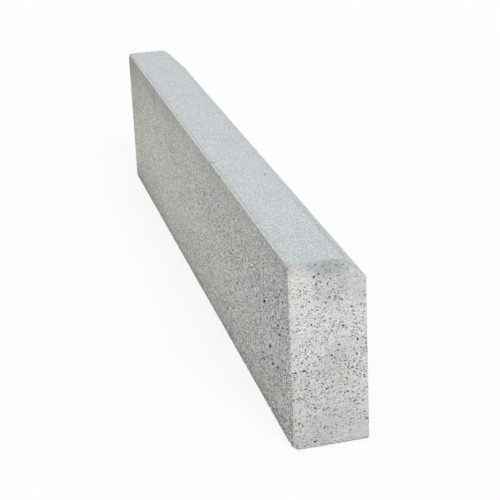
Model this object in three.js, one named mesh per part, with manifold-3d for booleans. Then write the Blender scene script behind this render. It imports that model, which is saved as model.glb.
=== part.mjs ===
// Concrete kerb stone with one chamfered top edge, as set along a path or a garden road.
//
// The stone is cast in one piece, standing on its bed. Its section is drawn once, seen from the
// near end, and runs straight from end to end. The back face is at -X, the chamfered road face
// at +X and the near end at -Y. The origin is the middle of the bed. Millimetres, +Z up.

import * as THREE from 'three';
import { mergeVertices } from 'three/addons/utils/BufferGeometryUtils.js';
import Module from 'manifold-3d';

// Overall sizes of the stone
const LENGTH = 1000;
const WIDTH = 80;
const HEIGHT = 200;

// The chamfer between the top and the road face
const CHAMFER_RUN = 23; // across the top, in from the road face
const CHAMFER_DROP = 20; // down the road face

// Arrises. The mould rounds the edges of both ends by END_ARRIS. Each long edge is blunter than
// that by an amount of its own, which is the radius of its corner on the flat of the end face.
const END_ARRIS = 1.5;
const BED_BACK_BLUNTING = 0.5;
const BED_ROAD_BLUNTING = 1;
const CHAMFER_FOOT_BLUNTING = 3;
const CHAMFER_HEAD_BLUNTING = 2;
const TOP_BACK_BLUNTING = 0.5;
const ARRIS_FACETS = 4;

// The corner that is knocked off, where the near end, the back face and the bed meet: how far
// the break reaches along each of the three edges
const KNOCK_ACROSS = 5;
const KNOCK_ALONG = 12;
const KNOCK_UP = 4.5;

const CONCRETE = new THREE.MeshStandardMaterial({
  name: 'concrete',
  color: 0xc4c6c5,
  roughness: 0.95,
  metalness: 0,
});

// The corners of the full section, anticlockwise from the bed's back edge, as if every edge
// were sharp. X is across the stone and Y its height; blunting is the end face's radius there.
function sectionCorners() {
  const back = -WIDTH / 2;
  const road = WIDTH / 2;
  return [
    { at: new THREE.Vector2(back, 0), blunting: BED_BACK_BLUNTING },
    { at: new THREE.Vector2(road, 0), blunting: BED_ROAD_BLUNTING },
    { at: new THREE.Vector2(road, HEIGHT - CHAMFER_DROP), blunting: CHAMFER_FOOT_BLUNTING },
    { at: new THREE.Vector2(road - CHAMFER_RUN, HEIGHT), blunting: CHAMFER_HEAD_BLUNTING },
    { at: new THREE.Vector2(back, HEIGHT), blunting: TOP_BACK_BLUNTING },
  ];
}

// Outline of the end's flat: the section with its sides moved in by the end arris and its
// corners rounded. Along the bisector of a corner, a point lies sin(half the corner's angle)
// times its distance from the corner away from both sides, which places the arc's centre.
function endFaceOutline(corners) {
  const outline = new THREE.Shape();
  corners.forEach(({ at, blunting }, index) => {
    const toPrevious = corners.at(index - 1).at.clone().sub(at).normalize();
    const toNext = corners[(index + 1) % corners.length].at.clone().sub(at).normalize();
    const halfAngle = Math.acos(toPrevious.dot(toNext)) / 2;
    const bisector = toPrevious.clone().add(toNext).normalize();
    const centre = bisector.multiplyScalar((END_ARRIS + blunting) / Math.sin(halfAngle)).add(at);
    // The arc runs between the directions that point square out of the two sides
    const outOfPrevious = Math.atan2(toPrevious.x, -toPrevious.y);
    const outOfNext = Math.atan2(-toNext.x, toNext.y);
    outline.absarc(centre.x, centre.y, blunting, outOfPrevious, outOfNext);
  });
  return outline;
}

// The section run from end to end. The bevel swells the end's flat out to the full section, so
// one operation gives the ends their rounded arris and the long edges their radius.
function straightStone() {
  const stone = new THREE.ExtrudeGeometry(endFaceOutline(sectionCorners()), {
    depth: LENGTH - 2 * END_ARRIS,
    curveSegments: ARRIS_FACETS / 2, // an arc gets two facets for each of these
    bevelThickness: END_ARRIS,
    bevelSize: END_ARRIS,
    bevelSegments: ARRIS_FACETS,
  });
  stone.translate(0, 0, END_ARRIS - LENGTH / 2);
  stone.rotateX(Math.PI / 2);
  return stone;
}

// What the knock takes off: a block with one face on the plane through the three points where
// the break ends, reaching from there out past the corner.
function knockedOffBlock() {
  const corner = new THREE.Vector3(-WIDTH / 2, -LENGTH / 2, 0);
  const breakEnds = [
    corner.clone().add(new THREE.Vector3(KNOCK_ACROSS, 0, 0)),
    corner.clone().add(new THREE.Vector3(0, KNOCK_ALONG, 0)),
    corner.clone().add(new THREE.Vector3(0, 0, KNOCK_UP)),
  ];
  const fracture = new THREE.Plane().setFromCoplanarPoints(...breakEnds);
  const outward = fracture.normal.multiplyScalar(Math.sign(fracture.distanceToPoint(corner)));
  const side = 4 * Math.max(KNOCK_ACROSS, KNOCK_ALONG, KNOCK_UP);
  const block = new THREE.BoxGeometry(side, side, side);
  const up = new THREE.Vector3(0, 0, 1);
  block.translate(0, 0, side / 2);
  block.applyQuaternion(new THREE.Quaternion().setFromUnitVectors(up, outward));
  block.translate(...breakEnds[0].toArray());
  return block;
}

const wasm = await Module();
wasm.setup();

// Three.js geometry to a solid: only its positions, with equal ones merged
function toSolid(geometry) {
  const bare = geometry.clone();
  bare.deleteAttribute('normal');
  bare.deleteAttribute('uv');
  const merged = mergeVertices(bare);
  return new wasm.Manifold(new wasm.Mesh({
    numProp: 3,
    vertProperties: merged.attributes.position.array,
    triVerts: merged.index.array,
  }));
}

// A solid back to three.js geometry, with flat faces
function toGeometry(solid) {
  const mesh = solid.getMesh();
  const shared = new THREE.BufferGeometry();
  shared.setAttribute('position', new THREE.BufferAttribute(mesh.vertProperties, 3));
  shared.setIndex(new THREE.BufferAttribute(mesh.triVerts, 1));
  const flat = shared.toNonIndexed();
  flat.computeVertexNormals();
  return flat;
}

const kerbStone = new THREE.Mesh(
  toGeometry(toSolid(straightStone()).subtract(toSolid(knockedOffBlock()))),
  CONCRETE,
);
kerbStone.name = 'kerb_stone';

const model = new THREE.Group();
model.add(kerbStone);

export default model;
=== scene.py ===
import math

import bpy
import numpy as np
from mathutils import Matrix, Vector, noise
from mathutils.geometry import delaunay_2d_cdt
from mathutils.kdtree import KDTree


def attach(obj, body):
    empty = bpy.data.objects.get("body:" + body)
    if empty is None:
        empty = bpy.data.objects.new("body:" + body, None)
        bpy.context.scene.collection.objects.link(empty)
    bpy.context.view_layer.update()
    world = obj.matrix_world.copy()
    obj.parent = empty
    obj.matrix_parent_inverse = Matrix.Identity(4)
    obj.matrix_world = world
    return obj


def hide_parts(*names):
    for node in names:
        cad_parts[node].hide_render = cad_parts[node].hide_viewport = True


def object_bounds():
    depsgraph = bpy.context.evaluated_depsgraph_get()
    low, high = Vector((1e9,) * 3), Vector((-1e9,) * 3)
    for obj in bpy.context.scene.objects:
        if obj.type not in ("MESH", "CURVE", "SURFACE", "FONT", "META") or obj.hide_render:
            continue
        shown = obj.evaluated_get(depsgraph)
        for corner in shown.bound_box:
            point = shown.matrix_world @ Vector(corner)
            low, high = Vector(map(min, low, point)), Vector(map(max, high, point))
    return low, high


# A pressed concrete kerb stone: its skin with worn arrises, pits and chips, its concrete, and a
# plain studio. Lengths are in millimetres and become metres where Blender gets them. The frame
# is the CAD part's: the back face is at -X, the near end at -Y, and the bed stands on Z = 0.

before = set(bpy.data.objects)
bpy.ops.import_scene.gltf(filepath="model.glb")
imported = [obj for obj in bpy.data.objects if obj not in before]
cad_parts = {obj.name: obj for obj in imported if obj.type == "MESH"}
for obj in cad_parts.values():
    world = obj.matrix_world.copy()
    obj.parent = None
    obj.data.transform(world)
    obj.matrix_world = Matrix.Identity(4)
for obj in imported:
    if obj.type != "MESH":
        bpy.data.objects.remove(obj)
cad_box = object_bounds()

MM = 0.001
SEED = 7

WIDTH, LENGTH, HEIGHT = (round(side / MM, 3) for side in cad_box[1] - cad_box[0])
BACK = -WIDTH / 2
ROAD = WIDTH / 2
NEAR = -LENGTH / 2
FAR = LENGTH / 2

# The chamfer between the top and the road face
CHAMFER_RUN = 23
CHAMFER_DROP = 20
CHAMFER_SLOPE = math.hypot(CHAMFER_RUN, CHAMFER_DROP)
CHAMFER_HEAD = ROAD - CHAMFER_RUN
CHAMFER_FOOT = HEIGHT - CHAMFER_DROP

# The radius of each arris before wear
BED_BACK_RADIUS = 0.6
BED_ROAD_RADIUS = 1
CHAMFER_FOOT_RADIUS = 2.5
CHAMFER_HEAD_RADIUS = 3.2
TOP_BACK_RADIUS = 0.9
END_RADIUS = 0.9
BREAK_RADIUS = 0.6

# How much the radii vary along the stone, in long and in short waves, and the limits of it
LONG_WEAR = 0.5
SHORT_WEAR = 0.35
WEAR_LIMITS = (0.6, 1.9)

# How ragged the arrises are, and how much more so at the ends, up to a height
RAGGEDNESS = 0.2
END_RAGGEDNESS = 0.5
RAGGED_HEIGHT = 150

# How far the corner that is knocked off reaches across, along and up
KNOCK = np.array([5.0, 12.0, 4.5])

# The near end's bed arris is worn rounder from here towards the road, up to this radius there
NEAR_BED_START = BACK + 8
NEAR_BED_RADIUS = 7.5

# The lip that the press plate leaves along the top's back edge, the slope from it down to the
# top, and the groove beside it
LIP_WIDTH = 1.3
LIP_SLOPE = 0.8
LIP_HEIGHT = 0.3
GROOVE_AT = 3.2
GROOVE_HALF_WIDTH = 1.6
GROOVE_DEPTH = 0.3

# Corners of the section, anticlockwise from the bed's back edge as seen from the near end, and
# how far round the section each one lies. The bed's back edge is met again at AROUND. Between
# them lie the bed, the road face, the chamfer, the top and the back face, in that order.
SECTION = np.array([
    [BACK, 0],
    [ROAD, 0],
    [ROAD, CHAMFER_FOOT],
    [CHAMFER_HEAD, HEIGHT],
    [BACK, HEIGHT],
    [BACK, 0],
])
TURNS = np.concatenate([[0], np.cumsum(np.hypot(*np.diff(SECTION, axis=0).T))])
TOP_BACK_TURN, AROUND = TURNS[-2:]

# Spacing of the skin's points: in from an end, to both sides of a long arris, and between them
END_ROWS = (0.5, 1.1, 2.0)
ARRIS_ROWS = (-3.2, -1.5, -0.6, 0.0, 0.6, 1.5, 3.2)
LIP_ROWS = (-5.0, -3.8, -2.3)
END_STEP = 1.3
ARRIS_STEP = 2.4
FACE_SPACING = 7.5
NEAR_SPACING = 1.25
FAR_SPACING = 1.6

# The gaps that the points of these rows keep from the others, and those of a face's grid, as a
# share of its spacing
END_ROW_GAP = 0.3
ARRIS_ROW_GAP = 0.45
LONG_GRID_GAP = 0.45
END_GRID_GAP = 0.5

# A grid's rows lie closer together than the points of a row, and its points are moved a little
# at random, both as shares of its spacing
GRID_ROWS = 0.87
GRID_SHAKE = 0.22

# Holes in the near end where stones and air have come out: across from the back face, up from
# the bed, length, width, and how far the length is turned up from level, in degrees
NEAR_END_HOLES = (
    (28.5, 198, 1.3, 1.1, 0), (32.5, 180, 2.0, 1.1, -10), (40, 177.5, 2.5, 1.0, -35),
    (43, 182, 2.2, 1.1, -10), (12, 173, 2.0, 1.0, -5), (15.5, 174, 1.4, 0.9, 20),
    (17, 176.5, 1.5, 0.9, 60), (16.5, 170.5, 1.3, 1.0, 0), (31, 188.5, 2.5, 0.9, 0),
    (26.5, 186, 2.3, 0.9, -10), (30, 186.5, 1.3, 0.9, 0), (28.5, 178.5, 2.0, 0.9, 0),
    (35.5, 178.5, 1.4, 0.9, -40), (34, 174.5, 1.3, 0.9, 0), (44, 173.5, 1.3, 1.0, 0),
    (9, 189.5, 1.3, 1.0, 0), (38.5, 162.5, 1.5, 1.0, -30), (42, 163, 1.9, 0.9, -50),
    (47.5, 162, 2.0, 0.9, -5), (37.5, 157, 1.9, 1.3, 0), (55, 158, 1.4, 1.3, 0),
    (14, 156, 2.3, 0.9, -10), (18, 156.5, 1.3, 1.0, -20), (23.5, 151.5, 2.2, 1.4, 10),
    (28.5, 150.5, 2.0, 1.3, 0), (64.5, 149.5, 1.8, 1.4, 20), (42, 140, 1.9, 1.5, 0),
    (47.5, 139.5, 1.3, 1.0, 0), (36.5, 138.5, 2.0, 1.0, -10), (32.5, 141.5, 1.7, 0.9, 10),
    (15.5, 139.5, 1.5, 0.9, -40), (22.5, 135.5, 2.4, 1.6, 5), (29, 136.5, 1.6, 1.0, -30),
    (56, 130.5, 2.2, 1.5, 5), (58, 128, 1.6, 1.1, 0), (66, 127.5, 1.8, 1.5, 10),
    (28.5, 132, 1.6, 1.3, 0), (27.5, 128, 2.2, 1.1, -15), (25, 128.5, 1.3, 0.9, 0),
    (31.5, 124.5, 1.5, 1.0, -20), (37, 127, 1.9, 0.9, 30), (10, 131.5, 1.9, 1.0, -10),
    (16.5, 118, 1.5, 1.3, 0), (14.5, 115.5, 1.3, 1.1, 0), (20, 115, 2.2, 1.0, 0),
    (69.5, 114, 3.1, 1.5, -55), (48.5, 104.5, 1.8, 1.4, 0), (46, 103.5, 1.4, 0.9, -20),
    (42, 100, 2.4, 1.6, -20), (30, 97, 1.8, 1.5, 0), (11.5, 96, 2.0, 0.9, 25),
    (19.5, 93, 1.9, 0.9, 40), (68.5, 98.5, 1.4, 1.1, 0), (4.5, 86, 2.2, 1.9, 0),
    (13.5, 87, 3.4, 1.3, 10), (42.5, 71, 2.2, 1.4, 0), (26.5, 74.5, 2.0, 1.1, -10),
    (15, 66.5, 1.6, 1.5, 0), (18.5, 64.5, 2.6, 1.3, 0), (37.5, 66, 2.0, 1.1, -20),
    (10, 56.5, 1.5, 1.0, 0), (58.5, 58.5, 2.5, 1.3, 0), (59.5, 49.5, 1.5, 1.0, -20),
    (23.5, 44.5, 2.9, 1.3, -10), (74, 46, 2.3, 1.5, -10), (74.5, 30, 1.5, 1.1, 0),
    (33, 22, 2.2, 1.4, 0), (36, 21.5, 1.3, 1.1, 0), (22.5, 7, 3.6, 1.3, -35),
    (39.5, 8.5, 1.3, 1.0, 0), (76, 72, 1.6, 1.1, -15), (55, 67, 1.3, 0.9, -30),
)

# Long shallow scars between them, written the same way
NEAR_END_SCARS = (
    (68, 137, 5.0, 0.8, 40), (68, 132, 3.0, 0.7, -10), (7.5, 122.5, 4.7, 0.8, 20),
    (67.5, 121.5, 5.0, 0.7, 35), (16.5, 100.5, 2.9, 0.7, 35), (25.5, 85.5, 5.9, 0.6, 10),
    (3.5, 83.5, 2.9, 0.6, -35), (75.5, 82.5, 2.5, 0.7, -35), (44, 61, 4.1, 0.7, -10),
    (50, 58, 3.2, 0.7, -40), (9, 68, 2.2, 0.8, -35), (38.5, 35, 3.8, 0.6, 0),
    (64.5, 55.5, 2.3, 0.8, 15), (34.5, 94.5, 2.3, 0.6, -10), (31.5, 167.5, 4.5, 0.6, -50),
)

# Where its smaller holes lie closest together: across, up, half width and half height, and the
# share of them that lies in these places
NEAR_END_CLUSTERS = (
    (38, 158, 26, 26), (36, 140, 30, 16), (24, 116, 20, 9), (30, 92, 26, 9), (30, 62, 30, 15),
)
IN_CLUSTERS = 0.6

# Holes in the back face near its near end: along from that end, up, length and width
BACK_HOLES = (
    (106, 123.5, 10.5, 3.5), (241, 93.5, 11, 3.4), (49, 118.5, 8, 3.2), (43, 110.5, 7.5, 3.2),
    (88, 79.5, 9.5, 4), (120, 51.5, 8, 3.2), (57, 68, 8, 3.3), (126, 56.5, 7, 2.3),
    (49, 150, 6, 2.5), (25, 153.5, 6, 2.2), (68, 120.5, 5.5, 2.3), (163, 118, 7, 2.4),
    (77, 63.5, 6, 2.4), (88, 68.5, 5.5, 2.3), (146, 80, 5.5, 2.2), (30, 123.5, 5.5, 2.3),
    (9, 130.5, 5, 2.5), (70, 138, 5.5, 2), (107, 130, 5.5, 2), (112, 114, 5.5, 2.2),
    (38, 84, 5.5, 2.3), (24, 79.5, 5.5, 2.4), (221, 66, 7, 2.3), (144, 115.5, 5.5, 2.2),
    (306, 36.5, 8, 2.8), (218, 41, 6, 2.3), (282, 66, 7, 2.2),
)

# The holes in the back face lie along it, a little lower at their far end
BACK_LEAN = math.radians(90 - 18)

# Middling holes strewn over the back face, most of them near its near end: how many are tried,
# between which heights, how far along they lie on average, and how much their lean varies
STREWN_HOLES = 30
STREWN_UP = (4, 168)
STREWN_ALONG = 85
STREWN_LENGTHS = (3.5, 6)
STREWN_WIDTHS = (1.4, 2)
STREWN_LEAN_SPREAD = 0.15

# How deep the holes and the scars are for their width
END_HOLE_DEPTH = 1.0
SCAR_DEPTH = 0.15
BACK_HOLE_DEPTH = 0.8

# Small pits at random: how many are tried on each long face and on each end, how wide they are
# on average, and how far an end's pits lean from level. On a long face they keep clear of the
# arrises and of the ends, and more of them lie towards the near end.
LONG_PIT_TRIES = (250, 600, 3, 4, 250)
LONG_PIT_WIDTH = 1.15
LONG_PIT_SPREAD = (0.9, 1.5)
CLEAR_OF_ARRIS = 4
CLEAR_OF_END = 5
NEAR_PIT_TRIES = 160
FAR_PIT_TRIES = 350
END_PIT_WIDTH = 0.55
END_PIT_LEAN = -0.15

# How much their widths vary and the limits of them, how much their lean varies, and how long and
# deep they are for their width
PIT_WIDTH_SPREAD = 0.35
PIT_WIDTHS = (0.5, 2.6)
PIT_LEAN_SPREAD = 0.6
PIT_LENGTHS_FOR_WIDTH = (1, 2.4)
PIT_DEPTHS_FOR_WIDTH = (0.35, 0.6)

# Chips that stand out: where each is on its arris, its radius and its depth
CHIPS = (
    ((BACK, NEAR, 142.5), 2.4, 1.2),
    ((BACK, NEAR, 63.5), 2.2, 1.1),
    ((BACK, NEAR, 187.0), 1.6, 0.6),
    ((ROAD, NEAR, 149.5), 1.8, 0.9),
    ((ROAD, NEAR, 115.0), 1.9, 0.9),
    ((BACK, NEAR, HEIGHT), 4.0, 0.5),
    ((BACK, NEAR + 315, HEIGHT), 6.0, 1.5),
    ((BACK, NEAR + 372, HEIGHT), 7.0, 1.7),
    ((BACK, FAR, HEIGHT), 7.0, 2.0),
    ((ROAD, FAR, CHAMFER_FOOT), 17.0, 3.0),
    ((ROAD, FAR - 16, CHAMFER_FOOT), 14.0, 2.0),
    ((ROAD, FAR - 32, CHAMFER_FOOT), 12.0, 1.1),
)

# Small chips at random up the ends' arrises: which arris, between which heights, how many, and
# between which radii and depths
UPRIGHT_CHIPS = (
    (BACK, NEAR, (6, 148), 26, (0.9, 1.6), (0.3, 0.7)),
    (ROAD, NEAR, (30, 130), 14, (0.9, 1.6), (0.3, 0.7)),
    (BACK, FAR, (5, 178), 26, (0.9, 2.2), (0.4, 1.0)),
    (ROAD, FAR, (5, 178), 26, (0.9, 2.2), (0.4, 1.0)),
)

# The same across the bed at each end, and along the long arrises, where the depth is a share of
# the radius
BED_END_CHIPS = (16, (0.9, 1.8), (0.3, 0.8))
LONG_CHIPS = (
    (BACK, 0, 40, (1.5, 3.5)),
    (ROAD, 0, 60, (1.5, 3.5)),
    (BACK, HEIGHT, 10, (1.5, 2.5)),
    (ROAD, CHAMFER_FOOT, 12, (1.5, 2.5)),
)
LONG_CHIP_DEPTHS = (0.15, 0.35)

# Soft patches on the near end: across, up, half width, half height, then how much lighter each
# is, how much warmer, and what share of the grain it keeps
NEAR_END_PATCHES = (
    (40, 198, 27, 14, -0.27, -0.25, 0.85),
    (6, 200, 13, 11, -0.15, 0.1, 0.9),
    (8, 176, 12, 30, 0.02, 0.3, 0.95),
    (57, 178, 5, 14, -0.08, -0.5, 0.6),
    (72, 175, 12, 26, -0.13, -0.1, 0.6),
    (45, 98, 12, 17, -0.12, -0.3, 0.7),
    (30, 20, 14, 16, -0.02, -0.25, 0.9),
    (71, 13, 11, 12, -0.01, 0.0, 0.3),
    (52, 12, 10, 10, 0.0, 0.0, 0.7),
    (33, 83, 14, 7, -0.04, 0.0, 0.9),
    (54, 74, 9, 7, 0.0, 0.3, 1.0),
    (59.5, 90, 1.2, 12, -0.08, -0.2, 1.0),
    (59.3, 17, 1.2, 14, -0.08, -0.2, 1.0),
    (18, 120, 20, 34, 0.06, 0.0, 1.0),
    (43, 174, 20, 26, -0.15, 0.0, 0.95),
    (35, 59, 13, 13, 0.05, 0.0, 1.0),
    (43, 28, 22, 15, -0.05, -0.1, 0.9),
    (4, 65, 10, 40, 0.05, 0.0, 1.0),
    (77, 50, 9, 48, 0.06, 0.0, 1.0),
)

# The same for the back face: along from the near end, up, half length, half height and so on
BACK_PATCHES = (
    (2, 28, 7, 60, -0.1, 0.0, 1.0),
    (4, 175, 14, 30, -0.07, 0.0, 1.0),
    (767, 179, 9, 19, -0.2, 0.0, 1.0),
    (811, 39, 8, 10, -0.14, 0.0, 1.0),
    (905, 186, 60, 16, 0.09, 0.1, 1.0),
    (965, 150, 80, 80, -0.12, 0.15, 0.9),
)

# How light the sides and the ends are at some heights above the bed: darker towards the bed with
# painted contact shade from the floor together with dirt, and the sides darker again below the top
SIDE_SHADES = (
    (0, 0.77), (5, 0.83), (9, 0.96), (25, 1.09), (60, 1.18), (90, 1.22),
    (150, 1.08), (185, 0.92), (191, 0.86), (199, 0.86),
)
END_SHADES = ((0, 0.86), (10, 0.82), (30, 0.85), (60, 0.9), (100, 0.94), (125, 0.98), (200, 1.02))

# How far up, or towards an end, the skin looks where a finish starts and where it is complete
PRESSED_LOOK = (0.35, 0.7)
OPEN_LOOK = (0.4, 0.8)

# The sides along the stone, from 0 at the near end to 1 at the far one: how much lighter they
# get, how much darker towards the far end and at its head, and how much warmer, each with the
# stretch over which it comes in
SIDE_GAIN = 0.03
SIDE_GAIN_ALONG = (0, 0.6)
FAR_LOSS = 0.06
FAR_LOSS_ALONG = (0.5, 0.85)
FAR_HEAD_LOSS = 0.12
FAR_HEAD_ALONG = (0.5, 0.9)
FAR_HEAD_UP = (150, 190)
SIDE_WARMTH = 0.25
SIDE_WARMTH_ALONG = (0.15, 0.7)

# The grain: how much stronger it is on the nearer parts of the sides, and how much weaker on
# their upper part, at the foot of the ends and at their head, each with its stretch
NEARER_GAIN = 0.35
NEARER_ALONG = (0.35, 0.85)
NEAREST_GAIN = 0.25
NEAREST_ALONG = (0, 0.3)
UPPER_LOSS = 0.42
UPPER_UP = (140, 185)
END_FOOT_LOSS = 0.15
END_FOOT_UP = (40, 80)
END_HEAD_LOSS = 0.25
END_HEAD_UP = (120, 160)

# The top: the lip, lighter with a painted highlight along it and warmer, the groove, darker with
# painted shade in it together with dirt that spreads beside it, a duller strip of the chamfer at
# the near end, the far end, and the stronger grain at the near end
LIP_HIGHLIGHT = 0.11
LIP_WARMTH = 0.35
GROOVE_LOSS = 0.17
GROOVE_WARMTH = 0.3
GROOVE_SHADE_AND_DIRT_SPREAD = 0.6
DULL_LOSS = 0.11
DULL_AT = 8
DULL_ACROSS = (2, 9)
DULL_ALONG = (0.12, 0.3)
FAR_TOP_LOSS = 0.02
FAR_TOP_WARMTH = 0.12
FAR_TOP_ALONG = (0.65, 0.9)
NEAR_TOP_GAIN = 0.1
NEAR_TOP_ALONG = (0.02, 0.15)

# The mark that paints a hole dark, painted shade in the hollow together with deposit, for each
# millimetre of a pit and of a chip, and how deep a chip still counts. Pits are dark inside, and
# chips hardly.
PIT_MARK = 1.6
CHIP_MARK = 0.07
CHIP_MARK_DEPTH = 0.6


def smooth_step(values, low, high):
    """From 0 at low to 1 at high, smoothly."""
    share = np.clip((values - low) / (high - low), 0, 1)
    return share * share * (3 - 2 * share)


def field(points, size, seed):
    """Smooth noise at each point, about -1 to 1, in lumps of about that size."""
    shift = Vector((seed * 17.3, seed * 5.1, seed * 9.7))
    return np.array([noise.noise(Vector(point) + shift) for point in points / size])


def spaced(start, end, step):
    """Even steps from start to end, both included."""
    return np.linspace(start, end, max(1, round(abs(end - start) / step)) + 1)


def around_section(turns):
    """X and Z of the points that lie so far round the sharp section."""
    return np.column_stack([np.interp(turns, TURNS, column) for column in SECTION.T])


def tree_of(points):
    """A search tree over points that are flat or in space."""
    tree = KDTree(len(points))
    for index, point in enumerate(points):
        tree.insert((*point, 0) if len(point) == 2 else point, index)
    tree.balance()
    return tree


class Pit:
    """A hole in a flat sheet, longer than wide, with an uneven rim."""

    # How far out its rings lie and how deep they are, as shares of its size and depth: the rim,
    # the foot of the wall, the floor and the middle. A narrow pit has no ring on its floor.
    FLOOR_SHARE = 0.45
    RINGS = ((1.0, 0.0), (0.87, 0.7), (FLOOR_SHARE, 0.95), (0.0, 1.0))
    NARROW = 1.2
    # How many points its rim has, and how uneven it is, as a share of its size
    RIM_POINTS_PER_MM = 2.2
    RIM_POINTS = (6, 18)
    RIM_UNEVENNESS = 0.14
    RIM_LIMITS = (0.75, 1.25)
    # How far out most of the rim lies, and what none of it reaches
    WIDE = 1.2
    WIDEST = 1.3
    # The gaps that it keeps from other pits, from other points and from the sheet's edge
    CLEAR_OF_PITS = 0.5
    CLEAR_OF_POINTS = 0.3
    CLEAR_OF_EDGE = 0.8

    def __init__(self, draw, at, length, width, lean, depth):
        self.at = (float(at[0]), float(at[1]))
        self.way = np.array([math.cos(lean), math.sin(lean)])
        self.side = np.array([-self.way[1], self.way[0]])
        self.half_length = length / 2
        self.half_width = width / 2
        self.depth = depth
        count = int(np.clip(round((length + width) * self.RIM_POINTS_PER_MM), *self.RIM_POINTS))
        self.angles = draw.uniform(0, 2 * math.pi) + np.arange(count) * 2 * math.pi / count
        self.rim = np.clip(draw.normal(1, self.RIM_UNEVENNESS, count), *self.RIM_LIMITS)

    def spine(self):
        """Points along its middle, none further from its rim than about half its width."""
        reach = self.half_length - self.half_width
        return self.at + np.linspace(-reach, reach, 5)[:, None] * self.way

    def rings(self):
        """The points of the rim, the wall and the floor, and the depth of each."""
        points, depths = [], []
        for share, sunk in self.RINGS:
            if share == self.FLOOR_SHARE and self.half_width < self.NARROW / 2:
                continue
            along = self.half_length * share * self.rim * np.cos(self.angles)
            aside = self.half_width * share * self.rim * np.sin(self.angles)
            ring = self.at + along[:, None] * self.way + aside[:, None] * self.side
            if share == 0:
                ring = ring[:1]
            points.append(ring)
            depths.append(np.full(len(ring), sunk * self.depth))
        return np.vstack(points), np.concatenate(depths)

    def covers(self, points, margin):
        """Which points lie in it or within a margin of it."""
        away = points - self.at
        reach = self.half_length - self.half_width
        along = np.clip(away @ self.way, -reach, reach)
        aside = np.hypot(*(away - along[:, None] * self.way).T)
        return aside < self.half_width * self.WIDE + margin


class Sheet:
    """A flat sheet of skin: points with the depth of the pits at them, cut into triangles."""

    def __init__(self, outline):
        self.outline = len(outline)
        self.points = np.array(outline, float)
        self.depths = np.zeros(len(outline))
        self.pits = []

    def dig(self, pit):
        """Plans a pit, if it stays clear of the others."""
        spine = pit.spine()
        for other in self.pits:
            # Pits further apart than this can't touch
            if math.dist(other.at, pit.at) > other.half_length + pit.half_length + 2:
                continue
            apart = np.linalg.norm(spine[:, None] - other.spine(), axis=2).min()
            if apart < (pit.half_width + other.half_width) * pit.WIDE + pit.CLEAR_OF_PITS:
                return
        self.pits.append(pit)

    def cut_pits(self):
        """Puts the points of all its pits on the sheet."""
        rings = [pit.rings() for pit in self.pits]
        self.points = np.vstack([self.points, *[points for points, _ in rings]])
        self.depths = np.concatenate([self.depths, *[depths for _, depths in rings]])

    def add(self, points, gap):
        """Adds the points that keep a gap from all that are here, and lie in no pit."""
        tree = tree_of(self.points)
        points = points[[tree.find((*point, 0))[2] > gap for point in points]]
        near = tree_of(points)
        kept = np.ones(len(points), bool)
        for pit in self.pits:
            found = near.find_range((*pit.at, 0), pit.half_length * pit.WIDEST + 1)
            beside = [index for _, index, _ in found]
            if beside:
                kept[beside] &= ~pit.covers(points[beside], pit.CLEAR_OF_POINTS)
        self.points = np.vstack([self.points, points[kept]])
        self.depths = np.concatenate([self.depths, np.zeros(kept.sum())])

    def triangles(self):
        """The sheet's triangles, as rows of three point numbers."""
        _, _, faces, sources, _, _ = delaunay_2d_cdt(
            [Vector(point) for point in self.points], [], [range(self.outline)], 1, 1e-5
        )
        return np.array([source[0] for source in sources])[np.array(faces)]


def scattered(draw, low, high, spacing):
    """Points of a grid between two corners, each moved a little at random."""
    across = np.arange(low[0] + spacing / 2, high[0], spacing)
    along = np.arange(low[1] + spacing / 2, high[1], spacing * GRID_ROWS)
    grid = np.array([
        (u + spacing / 2 * (row % 2), v) for row, v in enumerate(along) for u in across
    ])
    return grid + draw.uniform(-GRID_SHAKE, GRID_SHAKE, grid.shape) * spacing


def outline_turns():
    """How far round the section the points of an end's outline lie."""
    runs = [spaced(start, end, END_STEP)[:-1] for start, end in zip(TURNS, TURNS[1:])]
    return np.concatenate([*runs, [AROUND]])


def random_pit(draw, at, size, lean):
    """A small pit of about that width, leaning about that much from level."""
    width = float(np.clip(size * draw.lognormal(0, PIT_WIDTH_SPREAD), *PIT_WIDTHS))
    length = width * draw.uniform(*PIT_LENGTHS_FOR_WIDTH)
    depth = width * draw.uniform(*PIT_DEPTHS_FOR_WIDTH)
    return Pit(draw, at, length, width, lean + draw.normal(0, PIT_LEAN_SPREAD), depth)


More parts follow.
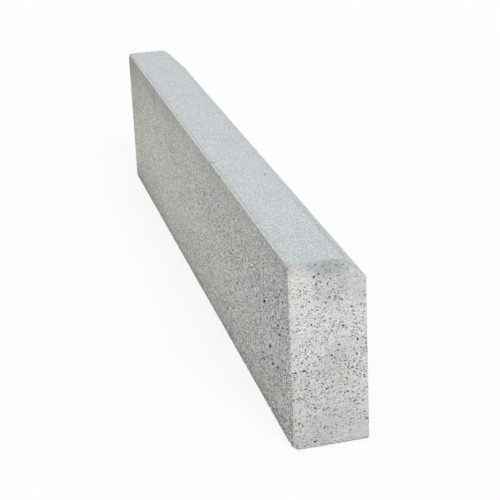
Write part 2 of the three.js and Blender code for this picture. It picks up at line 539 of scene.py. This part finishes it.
def long_sheet(draw):
    """The skin round the stone from end to end: how far round, and how far from the near end."""
    turns = outline_turns()
    lengths = spaced(0, LENGTH, ARRIS_STEP)
    sheet = Sheet(
        [(turn, 0) for turn in turns]
        + [(AROUND, length) for length in lengths[1:]]
        + [(turn, LENGTH) for turn in turns[-2::-1]]
        + [(0, length) for length in lengths[-2:0:-1]]
    )
    for along, up, length, width in BACK_HOLES:
        depth = width * BACK_HOLE_DEPTH
        sheet.dig(Pit(draw, (AROUND - up, along), length, width, BACK_LEAN, depth))
    for _ in range(STREWN_HOLES):
        at = (AROUND - draw.uniform(*STREWN_UP), 3 + draw.exponential(STREWN_ALONG))
        length = draw.uniform(*STREWN_LENGTHS)
        width = draw.uniform(*STREWN_WIDTHS)
        lean = BACK_LEAN + draw.normal(0, STREWN_LEAN_SPREAD)
        sheet.dig(Pit(draw, at, length, width, lean, width * BACK_HOLE_DEPTH))
    for start, end, tries in zip(TURNS, TURNS[1:], LONG_PIT_TRIES):
        for _ in range(tries):
            turn = draw.uniform(start + CLEAR_OF_ARRIS, end - CLEAR_OF_ARRIS)
            along = CLEAR_OF_END + (LENGTH - 2 * CLEAR_OF_END) * draw.beta(*LONG_PIT_SPREAD)
            sheet.dig(random_pit(draw, (turn, along), LONG_PIT_WIDTH, math.pi / 2))
    sheet.cut_pits()
    for row in END_ROWS:
        for length in (row, LENGTH - row):
            points = np.column_stack([turns[1:-1], np.full(len(turns) - 2, length)])
            sheet.add(points, END_ROW_GAP)
    rows = [turn + row for turn in TURNS for row in ARRIS_ROWS]
    rows += [TOP_BACK_TURN + row for row in LIP_ROWS]
    for index, turn in enumerate(rows):
        if 0 < turn < AROUND:
            shifted = lengths[1:-1] + ARRIS_STEP / 2 * (index % 2)
            sheet.add(np.column_stack([np.full(len(shifted), turn), shifted]), ARRIS_ROW_GAP)
    grid = scattered(draw, (0, 0), (AROUND, LENGTH), FACE_SPACING)
    sheet.add(grid, FACE_SPACING * LONG_GRID_GAP)
    return sheet


def beyond_chamfer(across, up):
    """Distance out of the chamfer's face."""
    run = (across - CHAMFER_HEAD) * CHAMFER_DROP
    return (run + (up - HEIGHT) * CHAMFER_RUN) / CHAMFER_SLOPE


def inside_section(points, margin):
    """Which points of an end, as X and Z, lie inside the section by more than a margin."""
    across, up = points.T
    beyond = [BACK - across, across - ROAD, -up, up - HEIGHT, beyond_chamfer(across, up)]
    return np.max(beyond, axis=0) < -margin


def random_place(draw, clusters):
    """A place on an end, more often in one of the clusters than elsewhere."""
    if clusters and draw.random() < IN_CLUSTERS:
        across, up, half_width, half_height = clusters[draw.integers(len(clusters))]
        return (
            BACK + across + half_width * draw.normal(0, 0.5),
            up + half_height * draw.normal(0, 0.5),
        )
    return (draw.uniform(BACK, ROAD), draw.uniform(0, HEIGHT))


def end_sheet(draw, pits, tries, clusters, spacing):
    """The skin of an end, as X and Z, with those pits and as many smaller ones as find room."""
    turns = outline_turns()[:-1]
    sheet = Sheet(around_section(turns))
    for pit in pits:
        sheet.dig(pit)
    for _ in range(tries):
        pit = random_pit(draw, random_place(draw, clusters), END_PIT_WIDTH, END_PIT_LEAN)
        if inside_section(pit.spine(), pit.half_width * Pit.WIDEST + Pit.CLEAR_OF_EDGE).all():
            sheet.dig(pit)
    sheet.cut_pits()
    middle = np.array([0, HEIGHT / 2])
    for row in END_ROWS:
        shrink = 1 - row / np.array([WIDTH / 2, HEIGHT / 2])
        ring = middle + (around_section(turns) - middle) * shrink
        sheet.add(ring[inside_section(ring, row * 0.7)], END_ROW_GAP)
    grid = scattered(draw, (BACK, 0), (ROAD, HEIGHT), spacing)
    sheet.add(grid[inside_section(grid, END_ROWS[-1])], spacing * END_GRID_GAP)
    return sheet


def near_end_pits(draw):
    """The near end's larger holes, and the shallow scars between them."""
    pits = []
    for marks, depth_share in ((NEAR_END_HOLES, END_HOLE_DEPTH), (NEAR_END_SCARS, SCAR_DEPTH)):
        for across, up, length, width, lean in marks:
            at = (BACK + across, up)
            pits.append(Pit(draw, at, length, width, math.radians(lean), width * depth_share))
    return pits


def rounded(one, other, radius, closeness=0.0):
    """Distance outside two faces at once, whose arris has a radius. The closeness is the
    cosine of the angle between the directions that the faces look in."""
    u = one + radius
    v = other + radius
    in_arris = (u > v * closeness) & (v > u * closeness)
    spread = (u * u + v * v - 2 * u * v * closeness) / (1 - closeness * closeness)
    return np.where(in_arris, np.sqrt(np.maximum(spread, 0)) - radius, np.maximum(one, other))


def outside_stone(points, wear):
    """Distance outside the stone, with its arrises rounded by their radius times the wear."""
    x, y, z = points.T
    low = z < HEIGHT / 2
    solid = rounded(BACK - x, -z, BED_BACK_RADIUS * wear)
    solid = rounded(solid, z - HEIGHT, TOP_BACK_RADIUS * wear)
    head = CHAMFER_RUN / CHAMFER_SLOPE
    solid = rounded(solid, beyond_chamfer(x, z), CHAMFER_HEAD_RADIUS * wear, head)
    road_radius = np.where(low, BED_ROAD_RADIUS, CHAMFER_FOOT_RADIUS)
    foot = np.where(low, 0, CHAMFER_DROP / CHAMFER_SLOPE)
    solid = rounded(solid, x - ROAD, road_radius * wear, foot)
    near_bed = np.clip((x - NEAR_BED_START) / WIDTH, 0, 1) * (y < 0)
    near_bed *= smooth_step(ROAD - x - z, -5, 2)
    near_bed *= 1 - smooth_step(z, 10, 20)
    end_radius = END_RADIUS * wear + (NEAR_BED_RADIUS - END_RADIUS) * near_bed
    solid = rounded(solid, np.abs(y) - LENGTH / 2, end_radius)
    slope = -1 / KNOCK
    knock = ((points - np.array([BACK, NEAR, 0])) @ slope + 1) / np.linalg.norm(slope)
    return rounded(solid, knock, BREAK_RADIUS)


def straight_out(points, wear):
    """The direction straight out of the stone at each point."""
    step = 0.01
    slope = np.column_stack([
        outside_stone(points + step * axis, wear) - outside_stone(points - step * axis, wear)
        for axis in np.eye(3)
    ])
    return slope / np.linalg.norm(slope, axis=1, keepdims=True)


def onto_stone(points, wear):
    """The points brought straight down onto the worn stone."""
    for _ in range(8):
        points = points - straight_out(points, wear) * outside_stone(points, wear)[:, None]
    return points


def arris_share(points):
    """1 on an arris, and 0 from 3 mm away from it."""
    x, y, z = points.T
    faces = [BACK - x, x - ROAD, -z, z - HEIGHT, beyond_chamfer(x, z), np.abs(y) - LENGTH / 2]
    second = np.sort(np.column_stack(faces), axis=1)[:, -2]
    return smooth_step(second, -3, -0.3)


def chips(draw):
    """Places where an arris is chipped: a centre, a radius and a depth for each."""
    found = list(CHIPS)
    for x, y, heights, count, radii, depths in UPRIGHT_CHIPS:
        for z in draw.uniform(*heights, count):
            found.append(((x, y, z), draw.uniform(*radii), draw.uniform(*depths)))
    count, radii, depths = BED_END_CHIPS
    for y in (NEAR, FAR):
        for x in draw.uniform(BACK, ROAD, count):
            found.append(((x, y, 0), draw.uniform(*radii), draw.uniform(*depths)))
    for x, z, count, radii in LONG_CHIPS:
        for y in draw.uniform(NEAR, FAR, count):
            radius = draw.uniform(*radii)
            found.append(((x, y, z), radius, radius * draw.uniform(*LONG_CHIP_DEPTHS)))
    return found


def chipped(points, found):
    """How deep the chips are at each point."""
    tree = tree_of(points)
    depths = np.zeros(len(points))
    for centre, radius, depth in found:
        for _, index, away in tree.find_range(centre, radius):
            depths[index] = max(depths[index], depth * (1 - (away / radius) ** 2))
    return depths


def mould_marks(points, out):
    """How far the mould's uneven faces lie below flat ones: the top beside the lip, the groove,
    the slight swells of every face and the rough ends."""
    from_back = points[:, 0] - BACK
    on_top = smooth_step(out[:, 2], 0.9, 0.99)
    lowered = LIP_HEIGHT * smooth_step(from_back, LIP_WIDTH, LIP_WIDTH + LIP_SLOPE)
    groove = 1 - smooth_step(np.abs(from_back - GROOVE_AT), 0.2, GROOVE_HALF_WIDTH)
    swells = 0.22 * field(points, size=140, seed=3) + 0.1 * field(points, size=45, seed=4)
    uneven = np.clip(swells, 0, 1)
    on_end = smooth_step(np.abs(out[:, 1]), 0.85, 0.99)
    bumps = 0.2 * field(points, size=3.2, seed=5)
    rough = np.clip(0.1 + bumps + 0.15 * field(points, size=9, seed=6), 0, 0.6)
    return on_top * (lowered + GROOVE_DEPTH * groove) + uneven + on_end * rough


def stone_skin(draw):
    """Points, pit depths, triangles and the flat layout of the whole sharp skin."""
    sheets = [
        long_sheet(draw),
        end_sheet(draw, near_end_pits(draw), NEAR_PIT_TRIES, NEAR_END_CLUSTERS, NEAR_SPACING),
        end_sheet(draw, [], FAR_PIT_TRIES, (), FAR_SPACING),
    ]
    turns, lengths = sheets[0].points.T
    section = around_section(turns)
    points = np.vstack([
        np.column_stack([section[:, 0], NEAR + lengths, section[:, 1]]),
        np.insert(sheets[1].points, 1, NEAR, axis=1),
        np.insert(sheets[2].points, 1, FAR, axis=1),
    ])
    depths = np.concatenate([sheet.depths for sheet in sheets])

    # Laid flat for baking: the long sheet upright on the left, the two ends to its right
    margin = 0.006
    unit = (1 - 2 * margin) / LENGTH
    ends_at = AROUND * unit + 3 * margin
    end_unit = (1 - 2 * margin - ends_at) / (2 * WIDTH)
    next_end = [WIDTH * end_unit + margin, 0]
    laid_near = (sheets[1].points - [BACK, 0]) * end_unit + [ends_at, margin]
    laid_far = (sheets[2].points - [BACK, 0]) * end_unit + [ends_at, margin] + next_end
    flat = np.vstack([sheets[0].points * unit + margin, laid_near, laid_far])

    starts = np.cumsum([0] + [len(sheet.points) for sheet in sheets])
    triangles = np.vstack([sheet.triangles() + start for sheet, start in zip(sheets, starts)])

    # The sheets meet in the points of their outlines
    _, first, same = np.unique(np.round(points, 4), axis=0, return_index=True, return_inverse=True)
    return points[first], depths[first], same.ravel()[triangles], flat[triangles]


def patch_share(across, up, deep, place):
    """1 in the middle of a soft patch on a face, and 0 outside it or deeper in."""
    middle, height, half_width, half_height = place
    away = np.hypot((across - middle) / half_width, (up - height) / half_height)
    return (1 - smooth_step(away, 0.5, 1.25)) * (1 - smooth_step(deep, 1.5, 5))


def finish_and_painted_shade_marks(points, out, holes):
    """What the material reads at each point: which finish, how light and warm, with painted shade
    and a painted highlight in the lightness, how much grain.
    """
    x, y, z = points.T
    along = (y - NEAR) / LENGTH
    from_back = x - BACK
    pressed = smooth_step(out[:, 2], *PRESSED_LOOK)
    opened = smooth_step(np.abs(out[:, 1]), *OPEN_LOOK)
    on_side = (1 - pressed) * (1 - opened)
    shade = np.ones(len(points))
    warmth = np.zeros(len(points))
    grain = np.ones(len(points))
    for across, deep, patches in (
        (from_back, y - NEAR, NEAR_END_PATCHES),
        (y - NEAR, from_back, BACK_PATCHES),
    ):
        for *place, lighter, warmer, kept in patches:
            share = patch_share(across, z, deep, place)
            shade *= 1 + share * lighter
            warmth += share * warmer
            grain *= 1 + share * (kept - 1)

    # The ends and the sides by height, with painted contact shade and dirt at the foot, then the
    # sides from the near end to the far one
    shade *= 1 + opened * (np.interp(z, *zip(*END_SHADES)) - 1)
    shade *= 1 + on_side * (np.interp(z, *zip(*SIDE_SHADES)) - 1)
    shade *= 1 + on_side * (SIDE_GAIN * smooth_step(along, *SIDE_GAIN_ALONG) - SIDE_GAIN / 2)
    shade *= 1 - on_side * FAR_LOSS * smooth_step(along, *FAR_LOSS_ALONG)
    far_loss = on_side * FAR_HEAD_LOSS * smooth_step(along, *FAR_HEAD_ALONG)
    shade *= 1 - far_loss * smooth_step(z, *FAR_HEAD_UP)
    warmth += on_side * SIDE_WARMTH * smooth_step(along, *SIDE_WARMTH_ALONG)

    # The grain is strongest on the lower and nearer part of the sides, and halfway up an end
    nearer = NEARER_GAIN * (1 - smooth_step(along, *NEARER_ALONG))
    nearer += NEAREST_GAIN * (1 - smooth_step(along, *NEAREST_ALONG))
    upper = smooth_step(z, *UPPER_UP)
    grain *= (1 + on_side * nearer) * (1 - on_side * UPPER_LOSS * upper)
    grain *= 1 - opened * END_FOOT_LOSS * (1 - smooth_step(z, *END_FOOT_UP))
    grain *= 1 - opened * END_HEAD_LOSS * smooth_step(z, *END_HEAD_UP)

    # The top and the chamfer, with a painted highlight on the lip and painted shade with dirt in
    # the groove
    lip = 1 - smooth_step(from_back, LIP_WIDTH, LIP_WIDTH + LIP_SLOPE)
    from_groove = np.abs(from_back - GROOVE_AT)
    groove = 1 - smooth_step(from_groove, 0.3, GROOVE_HALF_WIDTH + GROOVE_SHADE_AND_DIRT_SPREAD)
    dull = 1 - smooth_step(np.abs(x - CHAMFER_HEAD - DULL_AT), *DULL_ACROSS)
    dull *= 1 - smooth_step(along, *DULL_ALONG)
    far = smooth_step(along, *FAR_TOP_ALONG)
    gain = LIP_HIGHLIGHT * lip - GROOVE_LOSS * groove - DULL_LOSS * dull - FAR_TOP_LOSS * far
    shade *= 1 + pressed * gain
    warmth += pressed * (LIP_WARMTH * lip + GROOVE_WARMTH * groove + FAR_TOP_WARMTH * far)
    grain *= 1 + pressed * NEAR_TOP_GAIN * (1 - smooth_step(along, *NEAR_TOP_ALONG))
    return {
        "pressed": pressed, "open": opened, "shade": shade,
        "warmth": warmth, "grain": grain, "hole": holes,
    }


def build_stone(draw):
    """The stone: its worn, pitted and chipped skin, with the marks that its concrete reads."""
    sharp, pits, triangles, flat = stone_skin(draw)
    worn = LONG_WEAR * field(sharp, size=35, seed=1)
    wear = np.clip(1 + worn + SHORT_WEAR * field(sharp, size=7, seed=2), *WEAR_LIMITS)
    points = onto_stone(sharp, wear)
    out = straight_out(points, wear)
    chip_depths = chipped(points, chips(draw))

    ragged = np.clip(field(points, size=3.5, seed=8) - 0.05, 0, 1) * arris_share(sharp)
    low_end = (np.abs(sharp[:, 1]) > LENGTH / 2 - 3) * (sharp[:, 2] < RAGGED_HEIGHT)
    ragged *= RAGGEDNESS + END_RAGGEDNESS * low_end
    depth = np.maximum(pits, chip_depths) + ragged + mould_marks(points, out)
    points = points - out * depth[:, None]

    # Every triangle looks outwards
    a, b, c = (points[triangles[:, corner]] for corner in range(3))
    facing = np.einsum("ij,ij->i", np.cross(b - a, c - a), out[triangles].sum(axis=1))
    wrong = facing < 0
    triangles[wrong] = triangles[wrong][:, ::-1]
    flat[wrong] = flat[wrong][:, ::-1]

    mesh = bpy.data.meshes.new("kerb_stone_finish")
    mesh.from_pydata((points * MM).tolist(), [], triangles.tolist())
    mesh.uv_layers.new(name="OFBake").data.foreach_set("uv", flat.astype(np.float32).ravel())
    chip_marks = np.minimum(chip_depths, CHIP_MARK_DEPTH) * CHIP_MARK
    holes = pits * PIT_MARK + chip_marks
    for name, values in finish_and_painted_shade_marks(sharp, out, holes).items():
        attribute = mesh.attributes.new(name, "FLOAT", "POINT")
        attribute.data.foreach_set("value", values.astype(np.float32))
    shade_by_area(mesh, points, triangles)
    stone = bpy.data.objects.new("kerb_stone_finish", mesh)
    bpy.context.scene.collection.objects.link(stone)
    stone.data.materials.append(concrete())
    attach(stone, "root")
    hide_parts("kerb_stone")


def shade_by_area(mesh, points, triangles):
    """Smooth shading in which the large flat triangles keep their direction at a pit's rim."""
    a, b, c = (points[triangles[:, corner]] for corner in range(3))
    normals = np.zeros(points.shape)
    for corner in range(3):
        np.add.at(normals, triangles[:, corner], np.cross(b - a, c - a))
    normals /= np.linalg.norm(normals, axis=1, keepdims=True)
    mesh.shade_smooth()
    mesh.normals_split_custom_set_from_vertices(normals.tolist())


def linear(*levels):
    """A colour given in the 0 to 255 levels of a screen, as Blender wants it."""
    shares = [level / 255 for level in levels]
    return (*[s / 12.92 if s <= 0.04045 else ((s + 0.055) / 1.055) ** 2.4 for s in shares], 1)


def add_node(tree, kind, inputs=None, **settings):
    """A new node, with values or links put on its inputs, and its settings."""
    made = tree.nodes.new(kind)
    for name, value in settings.items():
        setattr(made, name, value)
    for name, value in (inputs or {}).items():
        if isinstance(value, bpy.types.NodeSocket):
            tree.links.new(value, made.inputs[name])
        else:
            made.inputs[name].default_value = value
    return made


class Mixer:
    """Short calls that add the nodes of a material and give back what they put out."""

    def __init__(self, tree):
        self.tree = tree
        # How far whatever is laid next is turned about X, in radians
        self.lean = 0.0
        metres = add_node(tree, "ShaderNodeTexCoord").outputs["Object"]
        scaled = {0: metres, "Scale": 1 / MM}
        self.place = add_node(tree, "ShaderNodeVectorMath", scaled, operation="SCALE").outputs[0]

    def mark(self, name):
        """A value stored at the skin's points."""
        return add_node(self.tree, "ShaderNodeAttribute", attribute_name=name).outputs["Fac"]

    def calculate(self, operation, one, other):
        """What an operation makes of two values."""
        made = add_node(self.tree, "ShaderNodeMath", {0: one, 1: other}, operation=operation)
        return made.outputs[0]

    def times(self, one, other):
        """Two values multiplied."""
        return self.calculate("MULTIPLY", one, other)

    def sum(self, total, *others):
        """The total and the others, each of which is a value and how much of it is added."""
        for value, amount in others:
            inputs = {0: value, 1: amount, 2: total}
            made = add_node(self.tree, "ShaderNodeMath", inputs, operation="MULTIPLY_ADD")
            total = made.outputs[0]
        return total

    def stretched(self, stretch, shift):
        """The place on the stone, moved, and longer by the stretch for whatever is laid there."""
        inputs = {
            "Vector": self.place,
            "Location": (shift, shift * 0.7, shift * 1.3),
            "Rotation": (self.lean, 0, 0),
            "Scale": stretch,
        }
        return add_node(self.tree, "ShaderNodeMapping", inputs, vector_type="TEXTURE").outputs[0]

    def clouds(self, size, shift, detail=1.0, stretch=(1, 1, 1)):
        """Noise around 0, about -1 to 1, in lumps of about that many millimetres."""
        inputs = {
            "Vector": self.stretched(stretch, shift),
            "Scale": 1 / size,
            "Detail": detail,
            "Roughness": 0.6,
        }
        made = add_node(self.tree, "ShaderNodeTexNoise", inputs)
        return self.ramp(made.outputs[0], 0.2, 0.8, -1, 1, clamp=False)

    def grains(self, size, shift, stretch=(1, 1, 1)):
        """A random value, -1 to 1, for each grain of about that many millimetres."""
        inputs = {"Vector": self.stretched(stretch, shift), "Scale": 1 / size}
        made = add_node(self.tree, "ShaderNodeTexVoronoi", inputs)
        split = add_node(self.tree, "ShaderNodeSeparateColor", {0: made.outputs["Color"]})
        return self.ramp(split.outputs[0], 0, 1, -1, 1)

    def ramp(self, value, low, high, to_low=0.0, to_high=1.0, clamp=True):
        """The value's span from low to high brought to another span."""
        inputs = {0: value, 1: low, 2: high, 3: to_low, 4: to_high}
        return add_node(self.tree, "ShaderNodeMapRange", inputs, clamp=clamp).outputs[0]

    def blend(self, share, one, other):
        """One value turning into another as the share goes from 0 to 1."""
        inputs = {0: share, 2: one, 3: other}
        return add_node(self.tree, "ShaderNodeMix", inputs, data_type="FLOAT").outputs[0]

    def blend_colours(self, share, one, other):
        """The same for two colours."""
        inputs = {0: share, 6: one, 7: other}
        return add_node(self.tree, "ShaderNodeMix", inputs, data_type="RGBA").outputs[2]


def sandy(mix):
    """The sides, where the mould leaves a sandy skin: patches, speckle, pores and height."""
    along = (1, 2, 1)
    broad = mix.clouds(160, shift=1, detail=1)
    broad = mix.sum(broad, (mix.clouds(30, shift=5, detail=0), 0.6))
    mix.lean = math.radians(-20)
    fine = mix.clouds(0.8, shift=9, detail=0, stretch=along)
    grain = mix.grains(0.9, shift=3, stretch=along)
    pore = mix.ramp(mix.grains(0.9, shift=21, stretch=along), -0.86, -0.92)
    mix.lean = 0.0
    light = mix.ramp(grain, 0.6, 0.9)
    speckle = mix.sum(mix.times(fine, 0.3), (grain, 0.5), (light, 0.25))
    height = mix.sum(mix.times(fine, 0.2), (grain, 0.1), (pore, -0.6))
    return broad, speckle, pore, height


def broken(mix):
    """The ends, where the skin is open: patches, speckle, pores and height."""
    broad = mix.clouds(45, shift=31, detail=2)
    broad = mix.sum(broad, (mix.clouds(12, shift=35, detail=2), 0.5))
    fine = mix.clouds(0.7, shift=39, detail=0)
    grain = mix.grains(0.8, shift=13)
    gone = mix.grains(0.85, shift=61, stretch=(1.6, 1, 1))
    gone = mix.sum(gone, (mix.clouds(13, shift=67, detail=1), 0.1))
    pore = mix.ramp(gone, -0.83, -0.89)
    speckle = mix.sum(mix.times(fine, 0.3), (grain, 0.32))
    height = mix.sum(mix.times(fine, 0.15), (grain, 0.08), (pore, -0.7))
    return broad, speckle, pore, height


def smoothed(mix):
    """The top and the chamfer, which the press smooths: patches, speckle, no pores, height."""
    along = (1, 2.2, 1)
    broad = mix.times(mix.clouds(70, shift=71, detail=2), 0.4)
    broad = mix.sum(broad, (mix.clouds(18, shift=73, detail=2), 0.3))
    fine = mix.clouds(1.0, shift=75, detail=1, stretch=along)
    grain = mix.grains(1.0, shift=23, stretch=along)
    speckle = mix.sum(mix.times(fine, 0.36), (grain, 0.18))
    height = mix.sum(mix.times(fine, 0.1), (grain, 0.03))
    return broad, speckle, 0.0, height


# The concrete's colours, in the levels of a screen: each finish's own, and what they turn to
# where the stone is warmest and coolest
SIDE_COLOUR = (212, 212, 208)
END_COLOUR = (212, 212, 211)
TOP_COLOUR = (201, 206, 209)
WARM_COLOUR = (212, 207, 192)
COOL_COLOUR = (196, 199, 208)
FULL_WARMTH = 1.6

# How strong the broad patches are, what share of the colour the pores take as painted shade and
# the holes as painted shade with deposit, the mark at which a hole takes its whole share, and the
# limits of the tone
PATCHINESS = 0.035
PORE_LOSS = 0.85
HOLE_LOSS = 0.93
DARK_HOLE = 0.25
DARKEST = 0.04
LIGHTEST = 1.5


def concrete():
    """One concrete with three finishes, which the marks on the skin choose between."""
    material = bpy.data.materials.new("concrete")
    material.use_nodes = True
    tree = material.node_tree
    mix = Mixer(tree)
    pressed = mix.mark("pressed")
    opened = mix.mark("open")
    grain = mix.mark("grain")
    broad, speckle, pore, height = (
        mix.blend(pressed, mix.blend(opened, side, end), top)
        for side, end, top in zip(sandy(mix), broken(mix), smoothed(mix))
    )
    tone = mix.sum(1.0, (broad, PATCHINESS), (speckle, grain))
    # The pores darken the colour: painted shade in them
    tone = mix.times(tone, mix.sum(1.0, (mix.times(pore, grain), -PORE_LOSS)))
    # The holes and chips darken it too: painted shade in the hollows together with deposit
    hole = mix.ramp(mix.mark("hole"), 0, DARK_HOLE)
    tone = mix.times(tone, mix.sum(1.0, (hole, -HOLE_LOSS)))
    tone = mix.times(tone, mix.mark("shade"))
    tone = mix.calculate("MINIMUM", mix.calculate("MAXIMUM", tone, DARKEST), LIGHTEST)

    colour = mix.blend_colours(opened, linear(*SIDE_COLOUR), linear(*END_COLOUR))
    colour = mix.blend_colours(pressed, colour, linear(*TOP_COLOUR))
    warmth = mix.sum(mix.mark("warmth"), (mix.clouds(40, shift=81, detail=2), 0.25))
    warm = mix.ramp(warmth, 0, FULL_WARMTH)
    cool = mix.ramp(warmth, 0, -FULL_WARMTH)
    colour = mix.blend_colours(warm, colour, linear(*WARM_COLOUR))
    colour = mix.blend_colours(cool, colour, linear(*COOL_COLOUR))
    toned = {0: colour, "Scale": tone}
    toned = add_node(tree, "ShaderNodeVectorMath", toned, operation="SCALE")
    relief = {"Height": mix.times(height, grain), "Distance": MM, "Strength": 1.0}
    bump = add_node(tree, "ShaderNodeBump", relief)
    shader = tree.nodes["Principled BSDF"]
    shader.inputs["Roughness"].default_value = 0.95
    shader.inputs["Specular IOR Level"].default_value = 0.15
    tree.links.new(toned.outputs[0], shader.inputs["Base Color"])
    tree.links.new(bump.outputs[0], shader.inputs["Normal"])
    return material


# The studio: an even sky, a soft sun, and a floor that the camera sees as nearly white
SKY = 0.68
SUN_STRENGTH = 1.5
SUN_ANGLE = 20
TOWARDS_SUN = (0.10, -0.78, 0.62)
FLOOR_REACH = 12
FLOOR_BOUNCE = (0.75, 0.75, 0.75, 1)
FLOOR_SEEN = (0.95, 0.95, 0.95, 1)
FLOOR_GLOW = 0.84
WHITE = (1, 1, 1, 1)


def seen_directly(tree):
    """1 for rays from the camera, off gloss or through glass, which find the pale studio."""
    path = add_node(tree, "ShaderNodeLightPath")
    rays = {0: path.outputs["Is Glossy Ray"], 1: path.outputs["Is Transmission Ray"]}
    either = add_node(tree, "ShaderNodeMath", rays, operation="MAXIMUM").outputs[0]
    rays = {0: path.outputs["Is Camera Ray"], 1: either}
    return add_node(tree, "ShaderNodeMath", rays, operation="MAXIMUM").outputs[0]


def floor_material():
    """A grey floor for the light that bounces off it, and a nearly white one for the camera."""
    material = bpy.data.materials.new("floor")
    material.use_nodes = True
    tree = material.node_tree
    tree.nodes.clear()
    plain = add_node(tree, "ShaderNodeBsdfDiffuse", {"Color": FLOOR_BOUNCE}).outputs[0]
    bright = add_node(tree, "ShaderNodeBsdfDiffuse", {"Color": FLOOR_SEEN}).outputs[0]
    glow = add_node(tree, "ShaderNodeEmission", {"Color": WHITE, "Strength": 1.0}).outputs[0]
    shown = add_node(tree, "ShaderNodeMixShader", {0: FLOOR_GLOW, 1: bright, 2: glow}).outputs[0]
    either = add_node(tree, "ShaderNodeMixShader", {0: seen_directly(tree), 1: plain, 2: shown})
    add_node(tree, "ShaderNodeOutputMaterial", {"Surface": either.outputs[0]})
    return material


def studio():
    """The floor, the sky and the sun around the stone."""
    reach = FLOOR_REACH
    corners = [(-reach, -reach, 0), (reach, -reach, 0), (reach, reach, 0), (-reach, reach, 0)]
    plane = bpy.data.meshes.new("floor")
    plane.from_pydata(corners, [], [(0, 1, 2, 3)])
    plane.materials.append(floor_material())
    floor = bpy.data.objects.new("floor", plane)
    bpy.context.scene.collection.objects.link(floor)

    world = bpy.data.worlds.new("studio")
    bpy.context.scene.world = world
    world.use_nodes = True
    tree = world.node_tree
    tree.nodes.clear()
    sky = add_node(tree, "ShaderNodeBackground", {"Color": WHITE, "Strength": SKY}).outputs[0]
    white = add_node(tree, "ShaderNodeBackground", {"Color": WHITE, "Strength": 1.0}).outputs[0]
    either = add_node(tree, "ShaderNodeMixShader", {0: seen_directly(tree), 1: sky, 2: white})
    add_node(tree, "ShaderNodeOutputWorld", {"Surface": either.outputs[0]})

    data = bpy.data.lights.new("sun", "SUN")
    data.energy = SUN_STRENGTH
    data.angle = math.radians(SUN_ANGLE)
    light = bpy.data.objects.new("sun", data)
    light.rotation_euler = Vector(TOWARDS_SUN).to_track_quat("Z", "Y").to_euler()
    bpy.context.scene.collection.objects.link(light)
    bpy.context.scene.view_settings.view_transform = "Standard"


# The camera: where it stands, which way it looks, how far it is tilted, and its lens
CAMERA_AT = Vector((-363.2, -1824.3, 719.0)) * MM
CAMERA_AZIMUTH = math.radians(-12.241)
CAMERA_ELEVATION = math.radians(20.143)
CAMERA_ROLL = math.radians(-2.674)
CAMERA_LENS = 108.47
CAMERA_SENSOR = 36


def camera():
    """A camera beyond the near end, a little above the stone."""
    data = bpy.data.cameras.new("camera")
    data.lens = CAMERA_LENS
    data.sensor_width = CAMERA_SENSOR
    eye = bpy.data.objects.new("camera", data)
    level = math.cos(CAMERA_ELEVATION)
    behind = Vector((
        math.sin(CAMERA_AZIMUTH) * level,
        -math.cos(CAMERA_AZIMUTH) * level,
        math.sin(CAMERA_ELEVATION),
    ))
    right = (-behind).cross(Vector((0, 0, 1))).normalized()
    up = right.cross(-behind)
    turned = Matrix((right, up, behind)).transposed() @ Matrix.Rotation(CAMERA_ROLL, 3, "Z")
    eye.matrix_world = Matrix.Translation(CAMERA_AT) @ turned.to_4x4()
    bpy.context.scene.collection.objects.link(eye)
    bpy.context.scene.camera = eye


build_stone(np.random.default_rng(SEED))
studio()
camera()
